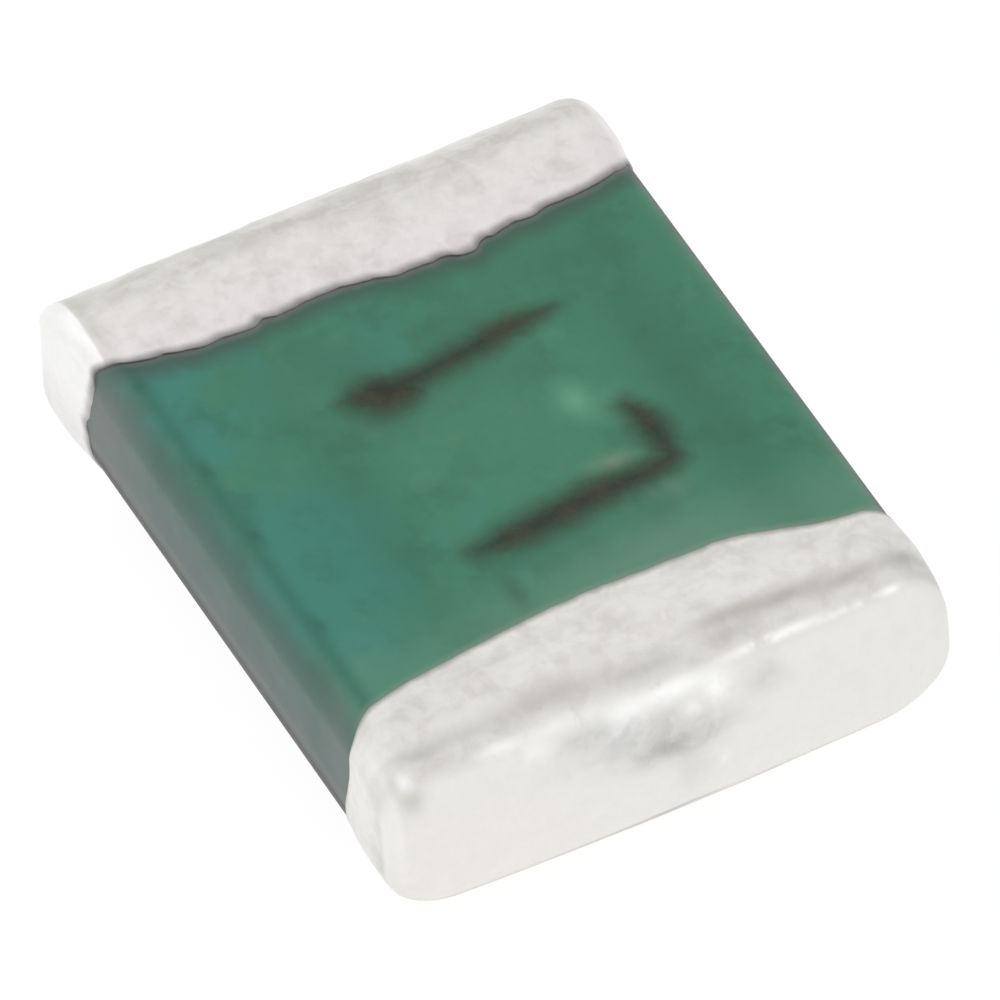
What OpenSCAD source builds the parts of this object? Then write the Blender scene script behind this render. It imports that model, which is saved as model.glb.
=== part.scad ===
// Chip mica capacitor. A stack of silvered mica sheets lies between two green coats and
// two grey side seals, and a metal cup is dipped over each end to join the electrodes.
// Millimetres. The origin is the middle of the underside, +X runs along the length to
// the near end, +Y across the width and +Z up.

/* [Stack] */
// Length of the coated stack, without the end cups
stack_l = 3.04; // [2.6:0.02:4]
// Width of the coated stack, over its two side seals
stack_w = 2.43; // [2:0.01:3.2]
// Number of silvered sheets between the two cover sheets
sheet_count = 6; // [2:1:10]
// Thickness of one silvered sheet, with the electrode that is let into its top
sheet_t = 0.065; // [0.045:0.005:0.12]
// Thickness of each of the two thick cover sheets
cover_t = 0.135; // [0.06:0.005:0.2]

/* [Electrodes] */
// Thickness of one electrode film
electrode_t = 0.01; // [0.006:0.001:0.02]
// Bare mica between an electrode and the end that it must not reach
electrode_gap = 0.4; // [0.2:0.02:0.7]
// Bare mica between an electrode and each long edge of its sheet
electrode_margin = 0.16; // [0.08:0.02:0.4]

/* [Coats and seals] */
// Thickness of the green coat on the top and of the one underneath
coat_t = 0.06; // [0.04:0.005:0.12]
// Thickness of the grey seal along each long side
seal_t = 0.13; // [0.06:0.01:0.2]
// Rounding of the stack's two upper long edges
side_r = 0.15; // [0.05:0.005:0.3]
// Rounding of the stack's two lower long edges
side_foot_r = 0.28; // [0.1:0.005:0.3]
// Rounding of the stack's upper edge at the near end, which has tumbled most
near_top_r = 0.345; // [0.1:0.005:0.37]
// Rounding of the stack's upper edge at the far end
far_top_r = 0.215; // [0.1:0.005:0.3]
// Rounding of the stack's lower edge at each end, which settles flatter
end_foot_r = 0.12; // [0.03:0.005:0.2]
// Rounding of the stack's upright corners, seen from above
corner_r = 0.05; // [0.03:0.005:0.1]

/* [End cups] */
// Thickness of the fired silver on the top, the sides and the underside
silver_t = 0.015; // [0.01:0.001:0.03]
// Thickness of the fired silver on the end face
silver_end_t = 0.06; // [0.03:0.005:0.1]
// Thickness of the nickel barrier over the silver
nickel_t = 0.01; // [0.008:0.001:0.02]
// Thickness of the tin over the nickel
tin_t = 0.01; // [0.008:0.001:0.02]
// Length of stack that the near cup's silver laps, at the long sides
near_lap = 0.37; // [0.3:0.01:0.6]
// How far the near cup's rim bows out past that, halfway across
near_bow = 0.14; // [0.05:0.01:0.2]
// Length of stack that the far cup's silver laps, at the long sides
far_lap = 0.44; // [0.3:0.01:0.6]
// How far the far cup's rim bows out past that, halfway across
far_bow = 0.09; // [0.05:0.01:0.2]

/* [Ink strokes] */
// Length of the two strokes, across the chip
mark_l = 1; // [0.6:0.05:1.2]
// Thickness of the ink on the top coat
ink_t = 0.01; // [0.006:0.001:0.02]
// Half the width of a stroke at its broadest
ink_r = 0.05; // [0.03:0.005:0.07]

/* [Hidden] */
$fn = 64;

// Outward growth of the end cups, on the sides and on the end face. Level 0 is the bare
// stack, 1 is with silver, 2 is with silver and nickel, and 3 is with the tin as well.
side_growth = [0, silver_t, silver_t + nickel_t, silver_t + nickel_t + tin_t];
end_growth = [0, silver_end_t, silver_end_t + nickel_t, silver_end_t + nickel_t + tin_t];
SILVER = 1;
NICKEL = 2;
TIN = 3;

stack_t = 2 * coat_t + 2 * cover_t + sheet_count * sheet_t;
stack_bottom = side_growth[TIN];
stack_top = stack_bottom + stack_t;
stack_middle = stack_bottom + stack_t / 2;
sheet_w = stack_w - 2 * seal_t;

// Most that the stack's thickness leaves for the rounding of an edge
most_r = 0.48 * stack_t;

// How far cutting shapes run past what they cut
past = 0.5;

COAT = [0.27, 0.53, 0.43];
SEAL = [0.43, 0.49, 0.48];
MICA = [0.8, 0.74, 0.58];
SILVER_FILM = [0.78, 0.77, 0.74];
FIRED_SILVER = [0.9, 0.9, 0.88];
NICKEL_PLATE = [0.72, 0.69, 0.62];
TIN_PLATE = [0.84, 0.84, 0.83];
INK = [0.29, 0.27, 0.21];

// The strokes' middle lines, as [share of mark_l along x, along y, share of ink_r], from one
// end to the other
FOOTED_STEM = [[-0.475, 0.575, 0.3], [-0.47, 0.43, 0.6], [-0.46, 0.225, 0.75],
               [-0.435, 0.055, 0.75], [-0.43, -0.11, 1], [-0.415, -0.24, 1.2]];
FOOTED_FOOT = [[-0.44, -0.425, 0.4], [-0.405, -0.33, 1], [-0.34, -0.26, 1.2],
               [-0.27, -0.18, 0.5]];
HOOKED_STROKE = [[0.545, -0.355, 0.4], [0.555, -0.21, 0.8], [0.54, 0.1, 1], [0.525, 0.395, 1],
                 [0.515, 0.61, 1], [0.355, 0.64, 0.9], [0.235, 0.6, 0.8], [0.155, 0.53, 0.4]];

// Height of the top of sheet i, where 0 is the lower cover sheet and sheet_count + 1 the upper
function sheet_top(i) =
    stack_bottom + coat_t + cover_t + min(i, sheet_count) * sheet_t
    + (i > sheet_count ? cover_t : 0);
function sheet_bottom(i) = i == 0 ? stack_bottom + coat_t : sheet_top(i - 1);

// What a true arc cuts off at one corner of an outline about the origin
module corner_cut(corner, r) {
    away = [sign(corner.x), sign(corner.y)];
    difference() {
        translate(corner + away * (past - r) / 2) square(past + r, center = true);
        translate(corner - away * r) circle(r);
    }
}

// Rectangle about the origin with a rounding of its own for each corner, in the order
// right upper, left upper, right lower, left lower
module rounded_outline(size, radii) {
    corner = size / 2;
    difference() {
        square(size, center = true);
        corner_cut(corner, radii[0]);
        corner_cut([-corner.x, corner.y], radii[1]);
        corner_cut([corner.x, -corner.y], radii[2]);
        corner_cut(-corner, radii[3]);
    }
}

// Outline of the long side, grown by the cups' layers up to a level and run across
module side_profile(level) {
    side = side_growth[level];
    near_r = min(near_top_r, most_r) + side;
    far_r = min(far_top_r, most_r) + side;
    foot_r = end_foot_r + side;
    rotate([90, 0, 0])
        linear_extrude(stack_w + 2 * past, center = true)
            rounded_outline([stack_l + 2 * end_growth[level], stack_t + 2 * side],
                            [near_r, far_r, foot_r, foot_r]);
}

// Outline of the end, grown in the same way and run along
module end_profile(level) {
    side = side_growth[level];
    upper_r = min(side_r, most_r) + side;
    foot_r = min(side_foot_r, most_r) + side;
    rotate([90, 0, 90])
        linear_extrude(stack_l + 2 * past, center = true)
            rounded_outline([stack_w + 2 * side, stack_t + 2 * side],
                            [upper_r, upper_r, foot_r, foot_r]);
}

// The stack's outer form, grown in the same way, where the outline that the child draws
// covers its plan
module grown_form(level) {
    side = side_growth[level];
    r = corner_r + side;
    translate([0, 0, stack_middle])
        intersection() {
            side_profile(level);
            end_profile(level);
            linear_extrude(stack_t + 2 * past, center = true)
                intersection() {
                    rounded_outline([stack_l + 2 * end_growth[level], stack_w + 2 * side],
                                    [r, r, r, r]);
                    children();
                }
        }
}

module bare_stack() {
    grown_form(0) square([stack_l + past, stack_w + past], center = true);
}

// The stack between two heights and between two distances across
module stack_slice(z_low, z_high, y_low, y_high) {
    intersection() {
        bare_stack();
        translate([-stack_l / 2 - past, y_low, z_low])
            cube([stack_l + 2 * past, y_high - y_low, z_high - z_low]);
    }
}

// Coats reach over the whole width, so their edges follow the rounding of the long edges
module coat(z_low, z_high) {
    color(COAT) stack_slice(z_low, z_high, -stack_w / 2 - past, stack_w / 2 + past);
}

module top_coat() {
    coat(stack_top - coat_t, stack_top + past);
}

module bottom_coat() {
    coat(stack_bottom - past, stack_bottom + coat_t);
}

// A seal fills one long side between the two coats
module side_seal(y_low, y_high) {
    color(SEAL) stack_slice(stack_bottom + coat_t, stack_top - coat_t, y_low, y_high);
}

module left_seal() {
    side_seal(-stack_w / 2 - past, -sheet_w / 2);
}

module right_seal() {
    side_seal(sheet_w / 2, stack_w / 2 + past);
}

// Films reach the near end and the far end in turn, and stop short of the other one
module electrode_film(i) {
    reach = i % 2 == 0 ? 1 : -1;
    film_w = sheet_w - 2 * electrode_margin;
    intersection() {
        stack_slice(sheet_top(i) - electrode_t, sheet_top(i), -film_w / 2, film_w / 2);
        translate([reach * electrode_gap, 0, stack_middle])
            cube([stack_l, stack_w, stack_t], center = true);
    }
}

module electrode(i) {
    color(SILVER_FILM) electrode_film(i);
}

// Every sheet but the upper cover sheet has an electrode let into its top
module mica(i) {
    color(MICA)
        difference() {
            stack_slice(sheet_bottom(i), sheet_top(i), -sheet_w / 2, sheet_w / 2);
            if (i <= sheet_count) electrode_film(i);
        }
}

// What one cup's layers fill up to a level, with the stack still inside. The rim is an
// arc across the width, because the end was dipped and the wet metal crept furthest
// along the middle of the faces. The end is 1 for the near one and -1 for the far one.
module cup_form(level, end, lap, bow) {
    half_w = stack_w / 2;
    rim_r = (half_w * half_w + bow * bow) / (2 * bow);
    plating = side_growth[level] - side_growth[SILVER];
    grown_form(level)
        translate([end * (stack_l / 2 - lap - bow + rim_r), 0]) circle(rim_r + plating);
}

// One metal layer of a cup, which also turns down to the stack along its rim
module cup_layer(level, end, lap, bow) {
    difference() {
        cup_form(level, end, lap, bow);
        if (level > SILVER) cup_form(level - 1, end, lap, bow);
        bare_stack();
    }
}

module near_cup_layer(level) {
    cup_layer(level, 1, near_lap, near_bow);
}

module far_cup_layer(level) {
    cup_layer(level, -1, far_lap, far_bow);
}

module near_silver() {
    color(FIRED_SILVER) near_cup_layer(SILVER);
}

module near_nickel() {
    color(NICKEL_PLATE) near_cup_layer(NICKEL);
}

module near_tin() {
    color(TIN_PLATE) near_cup_layer(TIN);
}

module far_silver() {
    color(FIRED_SILVER) far_cup_layer(SILVER);
}

module far_nickel() {
    color(NICKEL_PLATE) far_cup_layer(NICKEL);
}

module far_tin() {
    color(TIN_PLATE) far_cup_layer(TIN);
}

// Unit vector along a stroke's middle line at point i, averaged over its two neighbours
function heading(line, i) =
    let (a = line[max(i - 1, 0)], b = line[min(i + 1, len(line) - 1)], d = [b.x - a.x, b.y - a.y])
    d / norm(d);

// Edge of a stroke, half its width to one side of its middle line
function stroke_edge(line, side) =
    [for (i = [0:len(line) - 1])
        let (h = heading(line, i), r = side * ink_r * line[i][2])
        [mark_l * line[i].x - r * h.y, mark_l * line[i].y + r * h.x]];

function reversed(points) = [for (i = [len(points) - 1:-1:0]) points[i]];

module brush_stroke(line) {
    polygon(concat(stroke_edge(line, 1), reversed(stroke_edge(line, -1))));
}

module ink() {
    color(INK) translate([0, 0, stack_top]) linear_extrude(ink_t) children();
}

module footed_stroke() {
    ink() {
        brush_stroke(FOOTED_STEM);
        brush_stroke(FOOTED_FOOT);
    }
}

module hooked_stroke() {
    ink() brush_stroke(HOOKED_STROKE);
}

top_coat();
bottom_coat();
left_seal();
right_seal();
mica(0);  // lower_cover_sheet
for (i = [1:sheet_count])
    mica(i);
mica(sheet_count + 1);  // upper_cover_sheet
for (i = [0:sheet_count])
    electrode(i);
near_silver();
near_nickel();
near_tin();
far_silver();
far_nickel();
far_tin();
footed_stroke();
hooked_stroke();
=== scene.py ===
"""Looks of a chip mica capacitor: dipped metal ends, a resin-coated mica stack and two ink strokes.

Lengths in the classes are in millimetres. The meshes are made in metres, in the frame of the
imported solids: x runs along the chip to its near end, y across it, z up from the table.
"""
import sys
import logging
import math
from dataclasses import dataclass, field, replace
from enum import Enum
from typing import Callable, Optional, Sequence, Union

import bpy
import numpy as np
from mathutils import Matrix, Vector


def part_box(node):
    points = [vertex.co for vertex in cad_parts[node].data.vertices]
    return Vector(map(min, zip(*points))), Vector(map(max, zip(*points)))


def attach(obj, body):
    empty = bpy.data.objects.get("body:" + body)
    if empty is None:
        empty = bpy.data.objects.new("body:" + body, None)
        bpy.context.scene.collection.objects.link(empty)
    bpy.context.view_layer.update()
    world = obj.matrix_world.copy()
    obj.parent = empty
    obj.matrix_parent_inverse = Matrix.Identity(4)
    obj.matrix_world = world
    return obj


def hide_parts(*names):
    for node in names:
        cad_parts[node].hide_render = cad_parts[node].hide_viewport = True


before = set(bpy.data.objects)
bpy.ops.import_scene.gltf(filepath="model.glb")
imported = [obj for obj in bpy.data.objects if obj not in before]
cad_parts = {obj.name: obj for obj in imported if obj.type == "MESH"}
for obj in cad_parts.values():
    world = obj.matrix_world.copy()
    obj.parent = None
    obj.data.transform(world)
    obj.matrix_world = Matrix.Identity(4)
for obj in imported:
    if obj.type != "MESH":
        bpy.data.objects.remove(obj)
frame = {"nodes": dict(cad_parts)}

LOG = logging.getLogger("chip_mica_capacitor")
MM = 0.001
ROOT = "root"
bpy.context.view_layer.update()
WHITE = (1.0, 1.0, 1.0)

Array = np.ndarray
Colour = tuple[float, float, float]
Value = Union["Wire", float, Sequence[float]]


def srgb(red: float, green: float, blue: float) -> Colour:
    """A colour as it is seen, in steps of 255, as the linear light that a shader takes.

    Args:
        red: red, from 0 to 255.
        green: green, from 0 to 255.
        blue: blue, from 0 to 255.

    Returns:
        The three linear values.
    """
    def linear(step: float) -> float:
        """One channel's linear value."""
        share = step / 255
        return share / 12.92 if share <= 0.04045 else ((share + 0.055) / 1.055) ** 2.4
    return linear(red), linear(green), linear(blue)


def node_operator(operation: str, turned: bool = False) -> Callable[["Wire", Value], "Wire"]:
    """One of Python's operators on a wire.

    Args:
        operation: the operation of the node that it adds.
        turned: whether the wire stands on the right of it.

    Returns:
        The method.
    """
    def apply(wire: "Wire", other: Value) -> "Wire":
        """Adds the node on the wire and another value."""
        return wire.join(operation, *((other, wire) if turned else (wire, other)))
    return apply


class Wire:
    """One output of a material's nodes, on which Python's operators add more nodes."""

    __add__, __radd__ = node_operator("ADD"), node_operator("ADD", turned=True)
    __sub__, __rsub__ = node_operator("SUBTRACT"), node_operator("SUBTRACT", turned=True)
    __mul__, __rmul__ = node_operator("MULTIPLY"), node_operator("MULTIPLY", turned=True)
    __truediv__, __rtruediv__ = node_operator("DIVIDE"), node_operator("DIVIDE", turned=True)

    def __init__(self, graph: "Graph", socket: Optional[bpy.types.NodeSocket]) -> None:
        """Keeps the socket and the graph that it belongs to."""
        self.graph = graph
        self.socket = socket

    def join(self, operation: str, first: Value, second: Value) -> "Wire":
        """Adds a Math or Vector Math node on two values.

        Args:
            operation: the node's operation.
            first: the first value or link.
            second: the second value or link.

        Returns:
            The node's result.
        """
        if self.socket.type == "VECTOR":
            spread = [(v,) * 3 if isinstance(v, (int, float)) else v for v in (first, second)]
            return self.graph.node("ShaderNodeVectorMath", {"operation": operation},
                                   {"Vector": spread[0], "Vector_001": spread[1]}, "Vector")
        return self.graph.node("ShaderNodeMath", {"operation": operation},
                               {"Value": first, "Value_001": second}, "Value")

    def __neg__(self) -> "Wire":
        """The value with its sign turned."""
        return self * -1.0

    def fall(self) -> "Wire":
        """1 where the value is 0, and towards 0 as it grows."""
        return self.graph.node("ShaderNodeMath", {"operation": "EXPONENT"}, {"Value": -self}, "Value")

    def bell(self, middle: float, width: float) -> "Wire":
        """A soft bump that is 1 at its middle and falls to 0 on both sides of it."""
        off = (self - middle) / width
        return (off * off).fall()

    def step(self, low: float, high: float) -> "Wire":
        """A smooth rise from 0 at low to 1 at high, or a fall where low is the greater one.

        Args:
            low: value at which the result is 0.
            high: value at which the result is 1.

        Returns:
            The share from 0 to 1.
        """
        ends = {"From Min": min(low, high), "From Max": max(low, high),
                "To Min": float(low > high), "To Max": float(low < high)}
        return self.graph.node("ShaderNodeMapRange", {"interpolation_type": "SMOOTHSTEP"},
                               {"Value": self, **ends}, "Result")


class Graph:
    """The nodes of one material, in millimetres of the piece's own place, or of the world."""

    def __init__(self, name: str, world: bool = False) -> None:
        """Makes an empty material or world.

        Args:
            name: its name.
            world: whether it is the world.
        """
        self.owner = (bpy.data.worlds if world else bpy.data.materials).new(name)
        self.owner.use_nodes = True
        self.tree = self.owner.node_tree
        self.tree.nodes.clear()
        self.output = "ShaderNodeOutputWorld" if world else "ShaderNodeOutputMaterial"

    def node(self, kind: str, settings: Optional[dict[str, object]] = None,
             sockets: Optional[dict[str, Value]] = None, output: str = "") -> Wire:
        """Adds a node: its settings first, then the values or links of its sockets.

        Args:
            kind: the node's type.
            settings: attributes of the node, such as its operation.
            sockets: values or links, each by its socket's identifier.
            output: identifier of the output to hand on, or the first one.

        Returns:
            That output.
        """
        made = self.tree.nodes.new(kind)
        for name, setting in (settings or {}).items():
            setattr(made, name, setting)
        places = {socket.identifier: socket for socket in made.inputs}
        for name, value in (sockets or {}).items():
            if isinstance(value, Wire):
                self.tree.links.new(value.socket, places[name])
            elif places[name].type == "RGBA" and len(value) == 3:
                places[name].default_value = (*value, 1.0)
            else:
                places[name].default_value = value
        outputs = {socket.identifier: socket for socket in made.outputs}
        return Wire(self, outputs[output] if output else next(iter(made.outputs), None))

    def places(self) -> Wire:
        """Where a point of the surface is, in millimetres."""
        return self.node("ShaderNodeTexCoord", output="Object") * (1 / MM)

    def outputs(self, kind: str, sockets: dict[str, Value], *names: str) -> list[Wire]:
        """Adds one node and hands on several of its outputs.

        Args:
            kind: the node's type.
            sockets: values or links of its sockets.
            names: the outputs to hand on.

        Returns:
            Those outputs.
        """
        outputs = self.node(kind, {}, sockets).socket.node.outputs
        return [Wire(self, outputs[name]) for name in names]

    def noise(self, vector: Wire, per_mm: float, detail: float = 2.0, rough: float = 0.5,
              bend: float = 0.0) -> Wire:
        """Soft noise from about 0.25 to 0.75.

        Args:
            vector: place in millimetres.
            per_mm: how many lumps lie on a millimetre.
            detail: octaves of finer noise.
            rough: weight of each finer octave.
            bend: how far the lumps are pulled out of shape.

        Returns:
            The noise.
        """
        return self.node("ShaderNodeTexNoise", {"noise_dimensions": "3D"},
                         {"Vector": vector, "Scale": per_mm, "Detail": detail,
                          "Roughness": rough, "Distortion": bend}, "Fac")

    def mix(self, colour: Value, *layers: tuple[Value, Value]) -> Wire:
        """Colours laid over one another.

        Args:
            colour: the colour under them.
            layers: each colour with how much of it shows, from 0 to 1.

        Returns:
            The mixed colour.
        """
        for other, share in layers:
            colour = self.node("ShaderNodeMix", {"data_type": "RGBA", "clamp_factor": True},
                               {"Factor_Float": share, "A_Color": colour, "B_Color": other}, "Result_Color")
        return colour

    def shade(self, colour: Value, factor: Wire) -> Wire:
        """A colour whose light is multiplied by a factor of about 1."""
        grey = self.node("ShaderNodeCombineXYZ", {}, {"X": factor, "Y": factor, "Z": factor}, "Vector")
        return self.node("ShaderNodeMix", {"data_type": "RGBA", "blend_type": "MULTIPLY"},
                         {"Factor_Float": 1.0, "A_Color": colour, "B_Color": grey}, "Result_Color")

    def measure(self, name: str) -> Wire:
        """A number that the mesh carries at each point, by its name."""
        return self.node("ShaderNodeAttribute", {"attribute_name": name}, output="Fac")

    def bump(self, height: Wire, depth_mm: float) -> Wire:
        """The normal on a relief that runs from 0 to 1 and is so many millimetres deep."""
        return self.node("ShaderNodeBump", {}, {"Height": height, "Distance": depth_mm * MM,
                                                "Strength": 1.0}, "Normal")

    def finish(self, sockets: dict[str, Value]) -> bpy.types.Material:
        """Closes the material with a Principled shader that has these values or links."""
        return self.close(self.node("ShaderNodeBsdfPrincipled", {}, sockets, "BSDF"))

    def close(self, surface: Wire) -> bpy.types.Material | bpy.types.World:
        """Links the last shader to the output and hands on what the nodes belong to."""
        self.node(self.output, {}, {"Surface": surface})
        return self.owner


class End(Enum):
    """The chip's two dipped ends, by the sign of x."""

    NEAR = 1
    FAR = -1

    @property
    def word(self) -> str:
        """The end's word in the names of nodes and pieces."""
        return self.name.lower()


class Layer(Enum):
    """The metal layers of a dipped end, from the inside out."""

    SILVER = "silver"
    NICKEL = "nickel"
    TIN = "tin"


@dataclass(frozen=True)
class Spot:
    """A soft blot of colour at a place given by two numbers of the surface."""

    x: float
    y: float
    reach_x: float
    reach_y: float
    colour: Colour
    strength: float

    def share(self, x: Wire, y: Wire) -> Wire:
        """How much of the blot shows.

        Args:
            x: the first number, such as the place along the chip.
            y: the second one, such as the place across it.

        Returns:
            The share, from 0 to its strength.
        """
        off_x = (x - self.x) / self.reach_x
        off_y = (y - self.y) / self.reach_y
        return (off_x * off_x + off_y * off_y).fall() * self.strength


def spots(*rows: tuple[float, ...]) -> tuple[Spot, ...]:
    """Spots from rows of x, y, reach in x, reach in y, red, green, blue and strength."""
    return tuple(Spot(*row[:4], srgb(*row[4:7]), row[7]) for row in rows)


@dataclass(frozen=True)
class ResinCoat:
    """Mottled green resin over the stack, which turns into the grey of the sealed long sides, with a painted
    shadow on the coat beside the far rim.
    """

    name: str = "resin_coat"
    green: Colour = srgb(58, 120, 94)
    teal: Colour = srgb(57, 125, 110)
    deep: Colour = srgb(48, 100, 80)
    pale: Colour = srgb(76, 132, 104)
    seam_green: Colour = srgb(46, 104, 88)
    near_green: Colour = srgb(88, 134, 111)
    grey: Colour = srgb(78, 106, 98)
    low_grey: Colour = srgb(91, 108, 105)
    warm_grey: Colour = srgb(106, 116, 113)
    # colour of the painted shadow on the coat beside the far rim
    far_rim_shadow: Colour = srgb(58, 82, 73)
    far_fade: Colour = srgb(112, 114, 114)
    near_fade: Colour = srgb(126, 142, 124)
    pale_brown: Colour = srgb(128, 118, 114)
    brown: Colour = srgb(70, 58, 58)
    purple: Colour = srgb(78, 60, 76)
    # mostly the resin's own mottling; the dark spot at the far-left corner (-0.907, -1.09) and the grey spot
    # at the far rim (-0.98, -0.88) are painted shade
    stains_and_painted_shade: tuple[Spot, ...] = spots(
        (0.25, -0.78, 0.6, 0.22, 50, 120, 106, 0.6), (-0.72, -0.5, 0.22, 0.3, 60, 118, 96, 0.5),
        (0.05, 0.05, 0.5, 0.42, 68, 128, 98, 0.5), (0.1, 0.82, 0.9, 0.14, 46, 100, 80, 0.65),
        (0.15, -0.6, 0.8, 0.11, 46, 104, 82, 0.55), (-0.75, 0.55, 0.2, 0.4, 54, 112, 88, 0.5),
        (0.014, 0.381, 0.1, 0.07, 100, 160, 128, 0.7), (0.12, 0.52, 0.1, 0.1, 86, 146, 116, 0.45),
        (0.809, -0.297, 0.12, 0.04, 44, 86, 70, 0.6), (0.9, 0.25, 0.17, 0.4, 92, 134, 114, 0.65),
        (0.39, 0.35, 0.05, 0.09, 130, 148, 124, 0.55), (0.6, 0.5, 0.08, 0.1, 104, 136, 114, 0.4),
        (0.68, 0.02, 0.12, 0.33, 54, 108, 88, 0.5), (-0.3, 0.05, 0.1, 0.2, 50, 106, 80, 0.4),
        (-0.3, -0.32, 0.11, 0.15, 52, 92, 74, 0.65), (-0.6, -0.32, 0.09, 0.17, 52, 102, 82, 0.5),
        (-0.6, 0.2, 0.09, 0.16, 52, 102, 82, 0.5), (-0.98, -0.88, 0.06, 0.2, 78, 100, 96, 0.6),
        (-0.907, -1.09, 0.035, 0.03, 36, 68, 60, 0.8), (-0.364, -1.07, 0.05, 0.03, 40, 80, 68, 0.7),
        (0.04, -1.06, 0.05, 0.03, 40, 80, 68, 0.6), (0.59, -1.06, 0.05, 0.03, 40, 80, 68, 0.6))

    def build(self) -> bpy.types.Material:
        """Makes the material.

        Returns:
            The material.
        """
        graph = Graph(self.name)
        place = graph.places()
        x, y, z = graph.outputs("ShaderNodeSeparateXYZ", {"Vector": place}, "X", "Y", "Z")
        clouds = graph.noise(place, 1.4, 3.0, 0.55, 0.4)
        patches = graph.noise(place + (5.0, 1.0, 0.0), 4.5, 3.0, 0.6)
        middling = graph.noise(place + (2.0, 7.0, 0.0), 8.0, 3.0, 0.6)
        grain = graph.noise(place, 28.0, 3.0, 0.6)
        far, near = graph.measure("to_far_rim"), graph.measure("to_near_rim")
        blotchy = 0.7 + patches * 0.6
        green = graph.mix(
            self.green,
            (self.teal, (clouds - y * 0.14).step(0.48, 0.7)),
            (self.deep, patches.step(0.46, 0.68) * 0.6),
            (self.pale, (clouds * 0.4 + middling * 0.6).step(0.5, 0.34) * 0.5),
            (self.near_green, (x + middling * 0.3).step(0.78, 1.15) * 0.65),
            # spots of the resin's own mottling, two of them painted shade beside the far rim
            *((stain.colour, stain.share(x, y) * blotchy) for stain in self.stains_and_painted_shade),
            (self.seam_green, y.bell(-1.085, 0.04) * 0.7),
            # painted shadow: dark grey-green on the coat at the foot of the far rim
            (self.far_rim_shadow, (far + (patches - 0.5) * 0.1).step(0.15, 0.03) * 0.72),
            (self.far_fade, (far + (middling - 0.5) * 0.03).step(0.042, -0.01) * 0.8),
            (self.near_fade, (near + (middling - 0.5) * 0.02).step(0.046, -0.008) * 0.85))
        grey = graph.mix(
            self.grey,
            (self.low_grey, z.step(0.7, 0.42)),
            (self.warm_grey, x.step(-0.5, -1.0) * 0.8 + x.step(0.8, 1.05) * 0.5),
            (self.pale_brown, z.bell(0.36, 0.025) * 0.5),
            (self.brown, z.step(0.322, 0.3) * 0.8))
        left = ((patches - 0.5) * 0.06 - y).step(1.09, 1.215)
        right = y.step(1.185, 1.208)
        colour = graph.mix(green, (grey, left + right),
                           (self.purple, z.bell(0.74, 0.028) * y.step(1.14, 1.17) * 0.8))
        return graph.finish({"Base Color": graph.shade(colour, 0.9 + grain * 0.09 + middling * 0.11),
                             "Roughness": 0.48 + (patches - 0.5) * 0.2, "Specular IOR Level": 0.35,
                             "Normal": graph.bump(patches * 0.6 + grain * 0.2, 0.003)})


@dataclass(frozen=True)
class TinPlace:
    """What the tin's colour goes by: the place, the numbers of the mesh and the noises."""

    y: Wire
    z: Wire
    turn: Wire
    from_rim: Wire
    blots: Wire
    streaks: Wire
    mottle: Wire
    lump: Wire


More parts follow.
